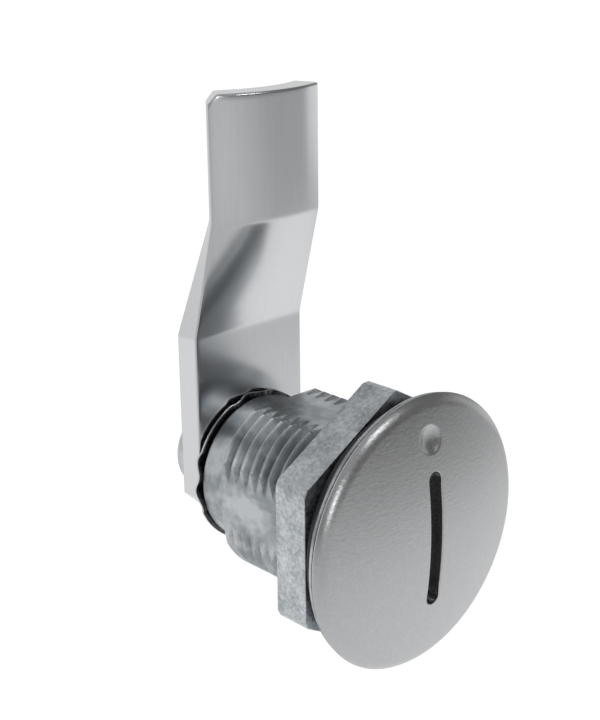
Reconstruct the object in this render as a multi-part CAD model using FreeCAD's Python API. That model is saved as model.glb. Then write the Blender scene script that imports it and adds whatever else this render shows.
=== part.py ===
"""Quarter-turn cam latch with a round domed cover.

The latch is screwed into a thin panel: the housing flange lies on the outside of the panel and
the nut clamps it from behind. A coin or a flat blade in the cover's slot turns the rotor by a
quarter turn, and with it the cranked cam that closes behind the frame.

Frame: the lock axis is Y and the cover faces -Y. The origin is on the axis, in the plane of the
flange's underside, where the panel lies. The closed cam points along +Z. Lengths are millimetres.
"""
import math
import os

import FreeCAD, Part
from FreeCAD import Vector

# Flange of the housing, from which the cover and the nut take their size
FLANGE_DIAMETER = 31.0
FLANGE_THICKNESS = 1.5
FLANGE_BEVEL = 1.2             # at 45 degrees, round the back of its edge
COVER_OVERHANG = 0.16          # of the cover, outside the flange all round
NUT_CORNER_INSET = 0.15        # of the nut's corners, inside the flange

# Cover and spindle of the rotor
COVER_RISE = 3.05              # of the dome's top over the cover's edge
COVER_RIM_RADIUS = 2.2
COVER_EDGE_ANGLE = 60.0        # slope of the rim where it meets the edge
COVER_BACK_ROUND = 0.3
COVER_GAP = 0.1                # air between the cover and the housing flange
LAND_DIAMETER = 18.0           # raised ring on which the cover runs
LAND_CLEARANCE = 0.03
COIN_SLOT_LENGTH = 15.5
COIN_SLOT_WIDTH = 1.8
COIN_SLOT_DEPTH = 2.6          # from the top of the dome
DIMPLE_DIAMETER = 3.3
DIMPLE_DEPTH = 0.5
DIMPLE_INSET = 4.34            # of the dimple's middle, from the cover's edge
BORE_DIAMETER = 12.0
RUNNING_CLEARANCE = 0.05       # on the radius, between the spindle and its bore
SQUARE_WIDTH = 8.0
SQUARE_CORNER_DIAMETER = 10.6
SQUARE_SHORTFALL = 0.4         # the square ends this far inside the cam's back face

# Stop that limits the turn
TURN_ANGLE = 90.0
STOP_LUG_DIAMETER = 16.4
STOP_LUG_ANGLE = 40.0
STOP_LUG_HEIGHT = 1.9
STOP_POCKET_CLEARANCE = 0.3
STOP_PLAY_ANGLE = 0.6          # left at each end of the turn

# O-ring on the spindle
SEAL_GROOVE_DIAMETER = 9.3
SEAL_GROOVE_WIDTH = 2.4
SEAL_GROOVE_OFFSET = 6.0       # from the flange's underside
SEAL_PRESSED_WIDTH = 0.65      # flat band where each wall presses on the ring
SEAL_SKIN = 0.01               # keeps the squeezed ring off both walls

# Barrel of the housing
THREAD_DIAMETER = 22.0
THREAD_PITCH = 1.5
THREAD_DEPTH = 0.82
THREAD_LENGTH = 18.95
LAST_CREST_INSET = 0.37        # of the rearmost crest, from the end of the thread
FLATS_WIDTH = 19.6             # across each pair of flats
COLLAR_DIAMETER = 17.7
COLLAR_LENGTH = 4.66
COLLAR_CHAMFER = 0.3

# Gasket and nut
GASKET_THICKNESS = 0.8
GASKET_CLEARANCE = 0.2         # on the radius, over the thread crests
GASKET_WIDTH = 2.8
PANEL_SPACE = 1.43             # from the flange's underside to the nut
NUT_THICKNESS = 4.4
NUT_BLUNTING = 0.24            # turned off each corner
NUT_THREAD_CLEARANCE = 0.08

# Wave washer
WAVE_DIAMETER = 18.5
WAVE_THICKNESS = 0.3
WAVE_SPACE = 1.04              # from the housing's rear rim to the cam
WAVE_CLEARANCE = 0.04          # to the rim and to the cam
WAVE_BORE_CLEARANCE = 0.35
WAVE_GROUPS = 4
WAVES_PER_GROUP = 2
WAVE_ANGLE = 24.5              # one wave, in degrees round the axis
WAVE_FLAT_CENTRE = 134.0       # middle of one plain stretch between two groups
SAMPLES_PER_WAVE = 8
PLAIN_STEPS = 5                # sections along each plain stretch

# Cam
CAM_WIDTH = 16.5
CAM_THICKNESS = 3.3
CAM_REACH = 45.2               # from the axis to the tip's end
CAM_BOTTOM = 8.25
CAM_BOTTOM_CHAMFER = 6.0
CAM_HOLE_CLEARANCE = 0.05
LOWER_BEND = 17.55             # both bends, from the axis
UPPER_BEND = 30.8
BEND_EASE = 1.2                # half the height over which each bend turns
BEND_STEPS = 4                 # sections in each bend
CAM_CRANK = 4.45               # from the flat base's front face to the foremost line of the tip
TIP_RADIUS = 15.0
TIP_CREST_OFFSET = 2.7         # of the foremost line, from the middle of the cam
TIP_LEAD_ANGLE = 38.0          # turned back on the edge that meets the frame first
TIP_TRAIL_ANGLE = 21.5
TIP_CHAMFER = 1.1

# Screw and washer that hold the cam
SCREW_DIAMETER = 6.0
SCREW_LENGTH = 12.0
SCREW_HEAD_DIAMETER = 10.6
SCREW_HEAD_HEIGHT = 3.9
SCREW_HEAD_CHAMFER = 0.4
SCREW_SOCKET_WIDTH = 4.0
SCREW_SOCKET_DEPTH = 2.2
SCREW_HOLE_CLEARANCE = 0.06
SCREW_HOLE_SPARE = 1.5
WASHER_DIAMETER = 12.5
WASHER_THICKNESS = 1.0
WASHER_CLEARANCE = 0.2

# Places along the lock axis
flange_front = -FLANGE_THICKNESS
cover_back = flange_front - COVER_GAP
cover_edge = cover_back - COVER_BACK_ROUND
dome_top = cover_edge - COVER_RISE
thread_end = THREAD_LENGTH
rear_rim = thread_end + COLLAR_LENGTH
nut_front = PANEL_SPACE
nut_back = nut_front + NUT_THICKNESS
cam_front = rear_rim + WAVE_SPACE
cam_back = cam_front + CAM_THICKNESS
washer_back = cam_back + WASHER_THICKNESS
square_end = cam_back - SQUARE_SHORTFALL
last_crest = thread_end - LAST_CREST_INSET

flange_radius = FLANGE_DIAMETER / 2
cover_radius = flange_radius + COVER_OVERHANG
dimple_offset = cover_radius - DIMPLE_INSET
nut_radius = flange_radius - NUT_CORNER_INSET
nut_width = (nut_radius + NUT_BLUNTING) * math.sqrt(3)
bore_radius = BORE_DIAMETER / 2
spindle_radius = bore_radius - RUNNING_CLEARANCE
thread_radius = THREAD_DIAMETER / 2
gasket_bore = thread_radius + GASKET_CLEARANCE

# The dome is an arc about the lock axis that meets the rim's smaller arc without an edge
edge_lean = math.radians(COVER_EDGE_ANGLE)
rim_centre = cover_radius - COVER_RIM_RADIUS * math.sin(edge_lean)
rim_middle = cover_edge + COVER_RIM_RADIUS * math.cos(edge_lean)
rise = rim_middle - dome_top
dome_radius = (rim_centre ** 2 + rise ** 2 - COVER_RIM_RADIUS ** 2) / (2 * (rise - COVER_RIM_RADIUS))
dome_centre = dome_top + dome_radius
dome_lean = math.asin(rim_centre / (dome_radius - COVER_RIM_RADIUS))

# Trapezoid section of the thread: half widths of its crest and of its root
crest_half = THREAD_PITCH / 16
root_half = THREAD_PITCH / 8

AXIS = Vector(0, 1, 0)
MARGIN = 1.0                   # how far a cutting tool runs past the piece


def line(a, b):
    return Part.LineSegment(Vector(*a), Vector(*b)).toShape()


def outline_edges(points):
    """Straight edges through (radius, y) points, not closed."""
    flat = [(r, y, 0.0) for r, y in points]
    return [line(a, b) for a, b in zip(flat, flat[1:])]


def turned(edges):
    """Solid turned about the lock axis from the edges of half its section."""
    face = Part.Face(Part.Wire(edges))
    return face.revolve(Vector(0, 0, 0), AXIS, 360)


def turned_points(points):
    return turned(outline_edges(points + points[:1]))


def cylinder(radius, start, end):
    return Part.makeCylinder(radius, end - start, Vector(0, start, 0), AXIS)


def tube(outer, inner, start, end):
    return cylinder(outer, start, end).cut(cylinder(inner, start - MARGIN, end + MARGIN))


def sector(outer, inner, start, end, first_angle, sweep):
    """Part of a ring about the lock axis; angles turn from +X towards +Z."""
    section = [(inner, start), (outer, start), (outer, end), (inner, end)]
    face = Part.Face(Part.Wire(outline_edges(section + section[:1])))
    piece = face.revolve(Vector(0, 0, 0), AXIS, -sweep)
    piece.rotate(Vector(0, 0, 0), AXIS, -first_angle)
    return piece


def square_bar(width, start, end):
    half = width / 2
    return Part.makeBox(width, end - start, width, Vector(-half, start, -half))


def hex_bar(width, start, end):
    """Hexagonal bar along the lock axis with one corner pointing up."""
    corner = width / math.sqrt(3)
    angles = [math.radians(90 + 60 * i) for i in range(6)]
    ring = [Vector(corner * math.cos(a), start, corner * math.sin(a)) for a in angles]
    face = Part.Face(Part.makePolygon(ring + ring[:1]))
    return face.extrude(Vector(0, end - start, 0))


def crest_height(y):
    """Share of the thread's depth that stands at y: 1 on a crest and 0 in a groove."""
    flank = THREAD_PITCH / 2 - crest_half - root_half
    away = abs((y - last_crest + THREAD_PITCH / 2) % THREAD_PITCH - THREAD_PITCH / 2)
    return min(1.0, max(0.0, 1.0 - (away - crest_half) / flank))


def thread_points(start, end, clearance):
    """Outline of the thread's section between two places, as ring grooves."""
    corners = [crest_half, THREAD_PITCH / 2 - root_half]
    corners += [THREAD_PITCH - c for c in reversed(corners)]
    first = math.floor((start - last_crest) / THREAD_PITCH)
    last = math.ceil((end - last_crest) / THREAD_PITCH)
    places = [last_crest + i * THREAD_PITCH + c for i in range(first, last + 1) for c in corners]
    places = [start] + [p for p in places if start < p < end] + [end]
    root = thread_radius - THREAD_DEPTH + clearance
    return [(root + THREAD_DEPTH * crest_height(p), p) for p in places]


def cover_outline():
    """Dome, rounded rim and back edge of the cover, from the axis outwards."""
    def on_dome(angle):
        return Vector(dome_radius * math.sin(angle), dome_centre - dome_radius * math.cos(angle), 0)

    def on_rim(angle):
        radius = COVER_RIM_RADIUS
        return Vector(rim_centre + radius * math.sin(angle), rim_middle - radius * math.cos(angle), 0)

    back_centre = cover_radius - COVER_BACK_ROUND
    diagonal = COVER_BACK_ROUND * math.sqrt(0.5)
    back_middle = Vector(back_centre + diagonal, cover_edge + diagonal, 0)
    back_end = Vector(back_centre, cover_back, 0)
    edges = [
        Part.Arc(on_dome(0), on_dome(dome_lean / 2), on_dome(dome_lean)).toShape(),
        Part.Arc(on_dome(dome_lean), on_rim((dome_lean + edge_lean) / 2), on_rim(edge_lean)).toShape(),
        Part.Arc(on_rim(edge_lean), back_middle, back_end).toShape(),
    ]
    return edges, back_centre


def rotor():
    edges, back_centre = cover_outline()
    land = LAND_DIAMETER / 2
    land_face = flange_front - LAND_CLEARANCE
    groove = SEAL_GROOVE_DIAMETER / 2
    groove_start = SEAL_GROOVE_OFFSET
    groove_end = groove_start + SEAL_GROOVE_WIDTH
    under = [
        (back_centre, cover_back), (land, cover_back), (land, land_face),
        (spindle_radius, land_face), (spindle_radius, groove_start), (groove, groove_start),
        (groove, groove_end), (spindle_radius, groove_end), (spindle_radius, cam_front),
        (0.0, cam_front), (0.0, dome_top),
    ]
    body = turned(edges + outline_edges(under))
    square = square_bar(SQUARE_WIDTH, cam_front - MARGIN, square_end)
    square = square.common(cylinder(SQUARE_CORNER_DIAMETER / 2, cam_front - MARGIN, square_end))
    lug_end = flange_front + STOP_LUG_HEIGHT
    lug = sector(STOP_LUG_DIAMETER / 2, groove, cover_back - COVER_GAP, lug_end,
                 270 - STOP_LUG_ANGLE / 2, STOP_LUG_ANGLE)
    body = body.fuse([square, lug]).removeSplitter()
    return body.cut([coin_slot(), dimple(), screw_hole()])


def coin_slot():
    """Straight slot with round ends, cut square to the panel down to a flat floor."""
    half = COIN_SLOT_LENGTH / 2 - COIN_SLOT_WIDTH / 2
    radius = COIN_SLOT_WIDTH / 2
    floor = dome_top + COIN_SLOT_DEPTH
    start = dome_top - MARGIN
    corners = [(radius, half), (radius, -half), (-radius, -half), (-radius, half)]
    right_top, right_low, left_low, left_top = [Vector(x, start, z) for x, z in corners]
    low_end = Vector(0, start, -half - radius)
    top_end = Vector(0, start, half + radius)
    wire = Part.Wire([
        Part.LineSegment(right_top, right_low).toShape(),
        Part.Arc(right_low, low_end, left_low).toShape(),
        Part.LineSegment(left_low, left_top).toShape(),
        Part.Arc(left_top, top_end, right_top).toShape(),
    ])
    return Part.Face(wire).extrude(Vector(0, floor - start, 0))


def dimple():
    """Ball that presses the index mark into the dome, above the slot."""
    ball = (DIMPLE_DIAMETER ** 2 / 4 + DIMPLE_DEPTH ** 2) / (2 * DIMPLE_DEPTH)
    lean = math.asin(dimple_offset / dome_radius)
    distance = dome_radius + ball - DIMPLE_DEPTH
    centre = Vector(0, dome_centre - distance * math.cos(lean), distance * math.sin(lean))
    return Part.makeSphere(ball, centre)


def screw_hole():
    radius = SCREW_DIAMETER / 2 + SCREW_HOLE_CLEARANCE
    deepest = washer_back - SCREW_LENGTH - SCREW_HOLE_SPARE
    return cylinder(radius, deepest, square_end + MARGIN)


def rotor_seal():
    """O-ring squeezed between the groove's floor and the bore."""
    inner = SEAL_GROOVE_DIAMETER / 2 + SEAL_SKIN
    outer = bore_radius - SEAL_SKIN
    middle = (inner + outer) / 2
    bulge = (outer - inner) / 2
    centre = SEAL_GROOVE_OFFSET + SEAL_GROOVE_WIDTH / 2
    front = centre - SEAL_PRESSED_WIDTH / 2
    back = centre + SEAL_PRESSED_WIDTH / 2
    front_arc = [(inner, front), (middle, front - bulge), (outer, front)]
    back_arc = [(outer, back), (middle, back + bulge), (inner, back)]
    return turned([
        Part.Arc(*[Vector(r, y, 0) for r, y in front_arc]).toShape(),
        line((outer, front, 0), (outer, back, 0)),
        Part.Arc(*[Vector(r, y, 0) for r, y in back_arc]).toShape(),
        line((inner, back, 0), (inner, front, 0)),
    ])


def housing():
    """Flange, threaded barrel with four flats and plain rear collar, bored through."""
    flange = turned_points([
        (0.0, flange_front), (flange_radius, flange_front), (flange_radius, -FLANGE_BEVEL),
        (flange_radius - FLANGE_BEVEL, 0.0), (0.0, 0.0),
    ])
    start = flange_front + FLANGE_THICKNESS / 2
    barrel = turned_points([(0.0, start)] + thread_points(start, thread_end, 0.0) + [(0.0, thread_end)])
    barrel = barrel.common(square_bar(FLATS_WIDTH, start - MARGIN, thread_end + MARGIN))
    collar_radius = COLLAR_DIAMETER / 2
    collar = turned_points([
        (0.0, thread_end - MARGIN), (collar_radius, thread_end - MARGIN),
        (collar_radius, rear_rim - COLLAR_CHAMFER), (collar_radius - COLLAR_CHAMFER, rear_rim),
        (0.0, rear_rim),
    ])
    body = flange.fuse([barrel, collar]).removeSplitter()
    bore = cylinder(bore_radius, flange_front - MARGIN, rear_rim + MARGIN)
    return body.cut([bore, stop_pocket()])


def stop_pocket():
    """Arc pocket in the flange's face in which the rotor's lug travels a quarter turn."""
    outer = STOP_LUG_DIAMETER / 2 + STOP_POCKET_CLEARANCE
    depth = STOP_LUG_HEIGHT + STOP_POCKET_CLEARANCE
    sweep = STOP_LUG_ANGLE + TURN_ANGLE + 2 * STOP_PLAY_ANGLE
    first = 270 + STOP_LUG_ANGLE / 2 + STOP_PLAY_ANGLE - sweep
    return sector(outer, bore_radius - MARGIN, flange_front - MARGIN, flange_front + depth,
                  first, sweep)


def panel_gasket():
    return tube(gasket_bore + GASKET_WIDTH, gasket_bore, 0.0, GASKET_THICKNESS)


def mounting_nut():
    """Hexagon nut with blunt corners and the housing's thread inside."""
    body = hex_bar(nut_width, nut_front, nut_back)
    body = body.common(cylinder(nut_radius, nut_front, nut_back))
    inside = thread_points(nut_front - MARGIN, nut_back + MARGIN, NUT_THREAD_CLEARANCE)
    core = turned_points([(0.0, nut_front - MARGIN)] + inside + [(0.0, nut_back + MARGIN)])
    return body.cut(core)


def wave_angles():
    """Angles of the washer's sections: close over the waves, wider over the plain stretches."""
    spacing = 360 / WAVE_GROUPS
    waves = WAVES_PER_GROUP * WAVE_ANGLE
    plain = spacing - waves
    samples = WAVES_PER_GROUP * SAMPLES_PER_WAVE
    angles = []
    for group in range(WAVE_GROUPS):
        start = WAVE_FLAT_CENTRE + group * spacing - plain / 2
        angles += [start + plain * i / PLAIN_STEPS for i in range(PLAIN_STEPS)]
        angles += [start + plain + waves * i / samples for i in range(samples)]
    return angles


def wave_height(degrees):
    """Height of the wave washer's middle surface: +1 at the housing, -1 at the cam."""
    spacing = 360 / WAVE_GROUPS
    waves = WAVES_PER_GROUP * WAVE_ANGLE
    along = (degrees - WAVE_FLAT_CENTRE) % spacing - (spacing - waves) / 2
    if along < 0 or along > waves:
        return 0.0
    return -math.sin(2 * math.pi * along / WAVE_ANGLE)


def wave_washer():
    """Spring washer with groups of waves between plain stretches, lofted round the axis."""
    middle = (rear_rim + cam_front) / 2
    swing = (WAVE_SPACE - WAVE_THICKNESS) / 2 - WAVE_CLEARANCE
    outer = WAVE_DIAMETER / 2
    inner = spindle_radius + WAVE_BORE_CLEARANCE
    sections = []
    for degrees in wave_angles():
        angle = math.radians(degrees)
        y = middle - swing * wave_height(degrees)
        front, back = y - WAVE_THICKNESS / 2, y + WAVE_THICKNESS / 2
        corners = [(inner, front), (outer, front), (outer, back), (inner, back), (inner, front)]
        ring = [Vector(r * math.cos(angle), at, r * math.sin(angle)) for r, at in corners]
        sections.append(Part.makePolygon(ring))
    return Part.makeLoft(sections, True, True, True)


def bend_share(z):
    """Share of the tip's curve in the section at z: 0 in the base, 1 in the tip, eased at bends."""
    def climb(bend):
        near = min(max(z - bend, -BEND_EASE), BEND_EASE)
        return (near + BEND_EASE) ** 2 / (4 * BEND_EASE) + max(0.0, z - bend - BEND_EASE)

    return round((climb(LOWER_BEND) - climb(UPPER_BEND)) / (UPPER_BEND - LOWER_BEND), 6)


def cam_section(z):
    """Section across the cam: front, trailing end, back and leading end.

    In the tip, front and back are arcs about one centre. Lower down the ends and the middle of
    each arc move towards the flat base in proportion, and in the base they are straight.
    """
    share = bend_share(z)
    half = CAM_WIDTH / 2
    centre_y = cam_front - CAM_CRANK + TIP_RADIUS

    def point(across, depth):
        """Place across, -1 at the leading end and 1 at the trailing one, and depth from the front."""
        swing = (TIP_LEAD_ANGLE + TIP_TRAIL_ANGLE) / 2
        angle = math.radians(across * swing + (TIP_TRAIL_ANGLE - TIP_LEAD_ANGLE) / 2)
        radius = TIP_RADIUS - depth
        curved = Vector(TIP_CREST_OFFSET + radius * math.sin(angle),
                        centre_y - radius * math.cos(angle), z)
        flat = Vector(across * half, cam_front + depth, z)
        return flat + (curved - flat) * share

    def stretch(depth, turn):
        start, middle, end = [point(across, depth) for across in (-turn, 0, turn)]
        edge = Part.Arc(start, middle, end) if share > 0 else Part.LineSegment(start, end)
        return edge.toShape()

    def end(across, first, last):
        return Part.LineSegment(point(across, first), point(across, last)).toShape()

    return Part.Wire([stretch(0, 1), end(1, 0, CAM_THICKNESS),
                      stretch(CAM_THICKNESS, -1), end(-1, CAM_THICKNESS, 0)])


def tip_corner_cut():
    """Wedge that takes the corner off the leading edge at the tip's end."""
    angle = math.radians(-TIP_LEAD_ANGLE)
    along = Vector(math.cos(angle), math.sin(angle), 0)
    back = Vector(-math.sin(angle), math.cos(angle), 0)
    centre_y = cam_front - CAM_CRANK + TIP_RADIUS
    corner = Vector(TIP_CREST_OFFSET + TIP_RADIUS * math.sin(angle),
                    centre_y - TIP_RADIUS * math.cos(angle), CAM_REACH)
    origin = corner - back * MARGIN - along * MARGIN + Vector(0, 0, MARGIN)
    reach = TIP_CHAMFER + 2 * MARGIN
    points = [origin, origin + along * reach, origin - Vector(0, 0, reach)]
    face = Part.Face(Part.makePolygon(points + points[:1]))
    return face.extrude(back * (CAM_THICKNESS + 2 * MARGIN))


def cam():
    """Cranked cam: a flat base, a sloped web and a curved tip, cast in one piece."""
    half = CAM_WIDTH / 2
    inset = half - CAM_BOTTOM_CHAMFER
    rise = CAM_BOTTOM_CHAMFER - CAM_BOTTOM
    web_start, tip_start = LOWER_BEND - BEND_EASE, UPPER_BEND + BEND_EASE
    outline = [(-half, web_start), (-half, rise), (-inset, -CAM_BOTTOM),
               (inset, -CAM_BOTTOM), (half, rise), (half, web_start)]
    ring = [Vector(x, cam_front, z) for x, z in outline]
    base = Part.Face(Part.makePolygon(ring + ring[:1])).extrude(Vector(0, CAM_THICKNESS, 0))
    places = [bend - BEND_EASE + 2 * BEND_EASE * i / BEND_STEPS
              for bend in (LOWER_BEND, UPPER_BEND) for i in range(BEND_STEPS + 1)]
    web = Part.makeLoft([cam_section(z) for z in places], True, True)
    tip = Part.Face(cam_section(tip_start)).extrude(Vector(0, 0, CAM_REACH - tip_start))
    body = base.fuse([web, tip]).removeSplitter()
    hole = square_bar(SQUARE_WIDTH + 2 * CAM_HOLE_CLEARANCE, cam_front - MARGIN, cam_back + MARGIN)
    return body.cut([hole, tip_corner_cut()])


def cam_washer():
    bore = SCREW_DIAMETER / 2 + WASHER_CLEARANCE
    return tube(WASHER_DIAMETER / 2, bore, cam_back, washer_back)


def cam_screw():
    """Low-head socket screw."""
    head = SCREW_HEAD_DIAMETER / 2
    shank = SCREW_DIAMETER / 2
    head_end = washer_back + SCREW_HEAD_HEIGHT
    tip = washer_back - SCREW_LENGTH
    body = turned_points([
        (0.0, tip), (shank - SCREW_HEAD_CHAMFER, tip), (shank, tip + SCREW_HEAD_CHAMFER),
        (shank, washer_back), (head, washer_back), (head, head_end - SCREW_HEAD_CHAMFER),
        (head - SCREW_HEAD_CHAMFER, head_end), (0.0, head_end),
    ])
    return body.cut(hex_bar(SCREW_SOCKET_WIDTH, head_end - SCREW_SOCKET_DEPTH, head_end + MARGIN))


PIECES = {
    "rotor": rotor,
    "rotor_seal": rotor_seal,
    "housing": housing,
    "panel_gasket": panel_gasket,
    "mounting_nut": mounting_nut,
    "wave_washer": wave_washer,
    "cam": cam,
    "cam_washer": cam_washer,
    "cam_screw": cam_screw,
}

os.makedirs("parts", exist_ok=True)
for name, make in PIECES.items():
    shape = make()
    box = shape.BoundBox
    print(f"{name}: solids {len(shape.Solids)}, valid {shape.isValid()}, volume {shape.Volume:.1f} mm3, "
          f"x {box.XMin:.2f}..{box.XMax:.2f}, y {box.YMin:.2f}..{box.YMax:.2f}, "
          f"z {box.ZMin:.2f}..{box.ZMax:.2f}")
    shape.exportStep(f"parts/{name}.step")
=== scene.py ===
# %% [markdown]
# # Quarter-turn cam latch
#
# The latch sits in the hole of a thin door. A domed steel cover with a coin slot turns a spindle,
# and the spindle carries a cranked cam that closes behind the frame. The finished surfaces are
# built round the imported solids, so every size below starts from one of their boxes.

import math

import bmesh
import bpy
import numpy as np
from mathutils import Matrix, Vector


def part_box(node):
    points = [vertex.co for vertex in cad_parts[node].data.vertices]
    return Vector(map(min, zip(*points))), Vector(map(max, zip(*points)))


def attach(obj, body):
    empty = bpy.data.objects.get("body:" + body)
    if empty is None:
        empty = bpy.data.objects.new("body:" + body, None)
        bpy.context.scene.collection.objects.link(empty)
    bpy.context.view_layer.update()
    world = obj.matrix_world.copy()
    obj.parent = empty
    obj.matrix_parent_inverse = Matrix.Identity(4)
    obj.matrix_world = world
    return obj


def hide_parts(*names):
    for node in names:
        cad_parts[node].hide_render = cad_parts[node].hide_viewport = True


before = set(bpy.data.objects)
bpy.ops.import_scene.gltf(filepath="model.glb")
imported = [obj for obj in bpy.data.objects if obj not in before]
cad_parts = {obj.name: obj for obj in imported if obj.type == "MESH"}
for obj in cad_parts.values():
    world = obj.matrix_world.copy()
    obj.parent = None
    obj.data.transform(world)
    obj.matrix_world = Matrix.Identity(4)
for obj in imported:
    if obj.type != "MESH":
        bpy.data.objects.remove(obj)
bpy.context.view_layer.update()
MM = 0.001


def box_mm(node):
    """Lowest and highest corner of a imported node, in millimetres."""
    low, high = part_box(node)
    return np.array(low) / MM, np.array(high) / MM


rotor_low, rotor_high = box_mm("rotor")
housing_low, housing_high = box_mm("housing")
gasket_low, gasket_high = box_mm("panel_gasket")
nut_low, nut_high = box_mm("mounting_nut")
cam_low, cam_high = box_mm("cam")
washer_low, washer_high = box_mm("cam_washer")
screw_low, screw_high = box_mm("cam_screw")
print("cover radius", round(rotor_high[0], 2), "cam reach", round(cam_high[2], 2), "mm")

# %% [markdown]
# ## Surfaces from rings of points
#
# Nearly every piece here was turned, rolled or pressed, so its skin can be described by closed
# rings of points laid one behind the other. One helper joins the rings to a mesh. For a screw
# thread each ring meets itself one pitch further on, which the helper allows for with a shift.

# %%
# Helpers that make meshes from arrays


def ring_mesh(name, rings, shift=0, sharp_angle=32.0):
    """Object whose faces join neighbouring points of rings[i, j]; j runs round and closes on itself.

    With a shift of s, point (i, last) is joined to point (i + s, first), as on a screw thread.
    """
    count, around = rings.shape[:2]
    i, j = np.meshgrid(np.arange(count - 1), np.arange(around), indexing="ij")
    step = np.where(j == around - 1, shift, 0)
    keep = (i + step >= 0) & (i + step + 1 < count)
    i, j, step = i[keep], j[keep], step[keep]
    following = (j + 1) % around
    quads = np.stack([i * around + j, (i + step) * around + following,
                      (i + step + 1) * around + following, (i + 1) * around + j], axis=1)
    mesh = bpy.data.meshes.new(name)
    mesh.from_pydata((rings.reshape(-1, 3) * MM).tolist(), [], quads.tolist())
    work = bmesh.new()
    work.from_mesh(mesh)
    bmesh.ops.remove_doubles(work, verts=work.verts, dist=0.0005 * MM)
    ends = [e for e in work.edges if e.is_boundary]
    if ends:
        bmesh.ops.holes_fill(work, edges=ends)
    bmesh.ops.recalc_face_normals(work, faces=work.faces)
    work.to_mesh(mesh)
    work.free()
    mesh.polygons.foreach_set("use_smooth", np.ones(len(mesh.polygons), dtype=bool))
    mesh.set_sharp_from_angle(angle=math.radians(sharp_angle))
    piece = bpy.data.objects.new(name, mesh)
    bpy.context.scene.collection.objects.link(piece)
    print(name, "faces:", len(mesh.polygons))
    return piece


def rounded(points, radius, steps=5):
    """Outline points with each inner corner replaced by a short curve of about that radius.

    The curve is (1-t)^2 a + 2t(1-t) p + t^2 b, with a and b one radius before and after corner p.
    """
    path = [np.array(points[0], float)]
    for before, corner, after in zip(points, points[1:], points[2:]):
        before, corner, after = (np.array(p, float) for p in (before, corner, after))
        size_in, size_out = np.linalg.norm(before - corner), np.linalg.norm(after - corner)
        reach = min(radius, 0.45 * size_in, 0.45 * size_out)
        a = corner + (before - corner) / size_in * reach
        b = corner + (after - corner) / size_out * reach
        t = np.linspace(0, 1, steps)[:, None]
        path.extend((1 - t) ** 2 * a + 2 * t * (1 - t) * corner + t ** 2 * b)
    path.append(np.array(points[-1], float))
    return np.array(path)


def turned(profile, around=256):
    """Rings of the surface turned about the lock axis from (radius, y) points.

    Point (i, j) is (r_i cos a_j, y_i, r_i sin a_j) with a_j = 2 pi j / around.
    """
    angle = np.arange(around) * 2 * np.pi / around
    radius, y = profile[:, :1], profile[:, 1:]
    return np.stack([radius * np.cos(angle), y + 0 * angle, radius * np.sin(angle)], axis=-1)


# %% [markdown]
# ## Fine structure of the metals
#
# The finishes differ mostly in their grain. Bead blasting leaves even pits of a few tenths of a
# millimetre, hot zinc cools in soft blotches, and a belt leaves streaks along its own direction.
# Each structure is a small node group, built once, that returns plain values for a material.

# %%
# Node groups for grain, blotches and streaks


def new_group(name, inputs, outputs):
    group = bpy.data.node_groups.new(name, "ShaderNodeTree")
    for label, value in inputs.items():
        socket = group.interface.new_socket(label, in_out="INPUT", socket_type="NodeSocketFloat")
        socket.default_value = value
    for label in outputs:
        group.interface.new_socket(label, in_out="OUTPUT", socket_type="NodeSocketFloat")
    return group, group.nodes.new("NodeGroupInput"), group.nodes.new("NodeGroupOutput")


def add_node(tree, kind, settings=None, **links):
    """Node with its settings made and its named inputs set to values or linked to sockets."""
    node = tree.nodes.new(kind)
    for label, value in (settings or {}).items():
        setattr(node, label, value)
    for label, value in links.items():
        socket = node.inputs[int(label[1:]) if label[1:].isdigit() else label.replace("_", " ")]
        if isinstance(value, bpy.types.NodeSocket):
            tree.links.new(value, socket)
        else:
            socket.default_value = value
    return node


def math_node(tree, operation, a, b=0.0):
    return add_node(tree, "ShaderNodeMath", {"operation": operation}, _0=a, _1=b).outputs[0]


def object_noise(tree, scale, stretch=(1, 1, 1), detail=2.0, roughness=0.5):
    """Noise on object coordinates; the scale counts its cells per metre."""
    coordinates = add_node(tree, "ShaderNodeTexCoord").outputs["Object"]
    mapping = add_node(tree, "ShaderNodeMapping", Vector=coordinates, Scale=stretch)
    noise = add_node(tree, "ShaderNodeTexNoise", Vector=mapping.outputs[0], Scale=scale,
                     Detail=detail, Roughness=roughness)
    return noise.outputs[0]


def grain_group():
    """Even fine pits: two noises, one twice as fine as the other."""
    group, start, end = new_group("fine_grain", {"Scale": 6000.0}, ["Value", "Height"])
    coarse = object_noise(group, start.outputs["Scale"], detail=1.0)
    doubled = math_node(group, "MULTIPLY", start.outputs["Scale"], 2.3)
    fine = object_noise(group, doubled, detail=1.0)
    total = math_node(group, "MULTIPLY", math_node(group, "ADD", coarse, fine), 0.5)
    group.links.new(total, end.inputs["Value"])
    group.links.new(coarse, end.inputs["Height"])
    return group


def blotch_group():
    """Cloudy patches with a finer mottle on top, as on zinc that cooled slowly."""
    group, start, end = new_group("zinc_blotches", {"Scale": 420.0}, ["Patches", "Mottle", "Height"])
    patches = object_noise(group, start.outputs["Scale"], detail=4.0, roughness=0.6)
    finer = math_node(group, "MULTIPLY", start.outputs["Scale"], 6.0)
    mottle = object_noise(group, finer, detail=3.0, roughness=0.6)
    height = math_node(group, "ADD", math_node(group, "MULTIPLY", patches, 0.6),
                       math_node(group, "MULTIPLY", mottle, 0.4))
    group.links.new(patches, end.inputs["Patches"])
    group.links.new(mottle, end.inputs["Mottle"])
    group.links.new(height, end.inputs["Height"])
    return group


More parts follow.
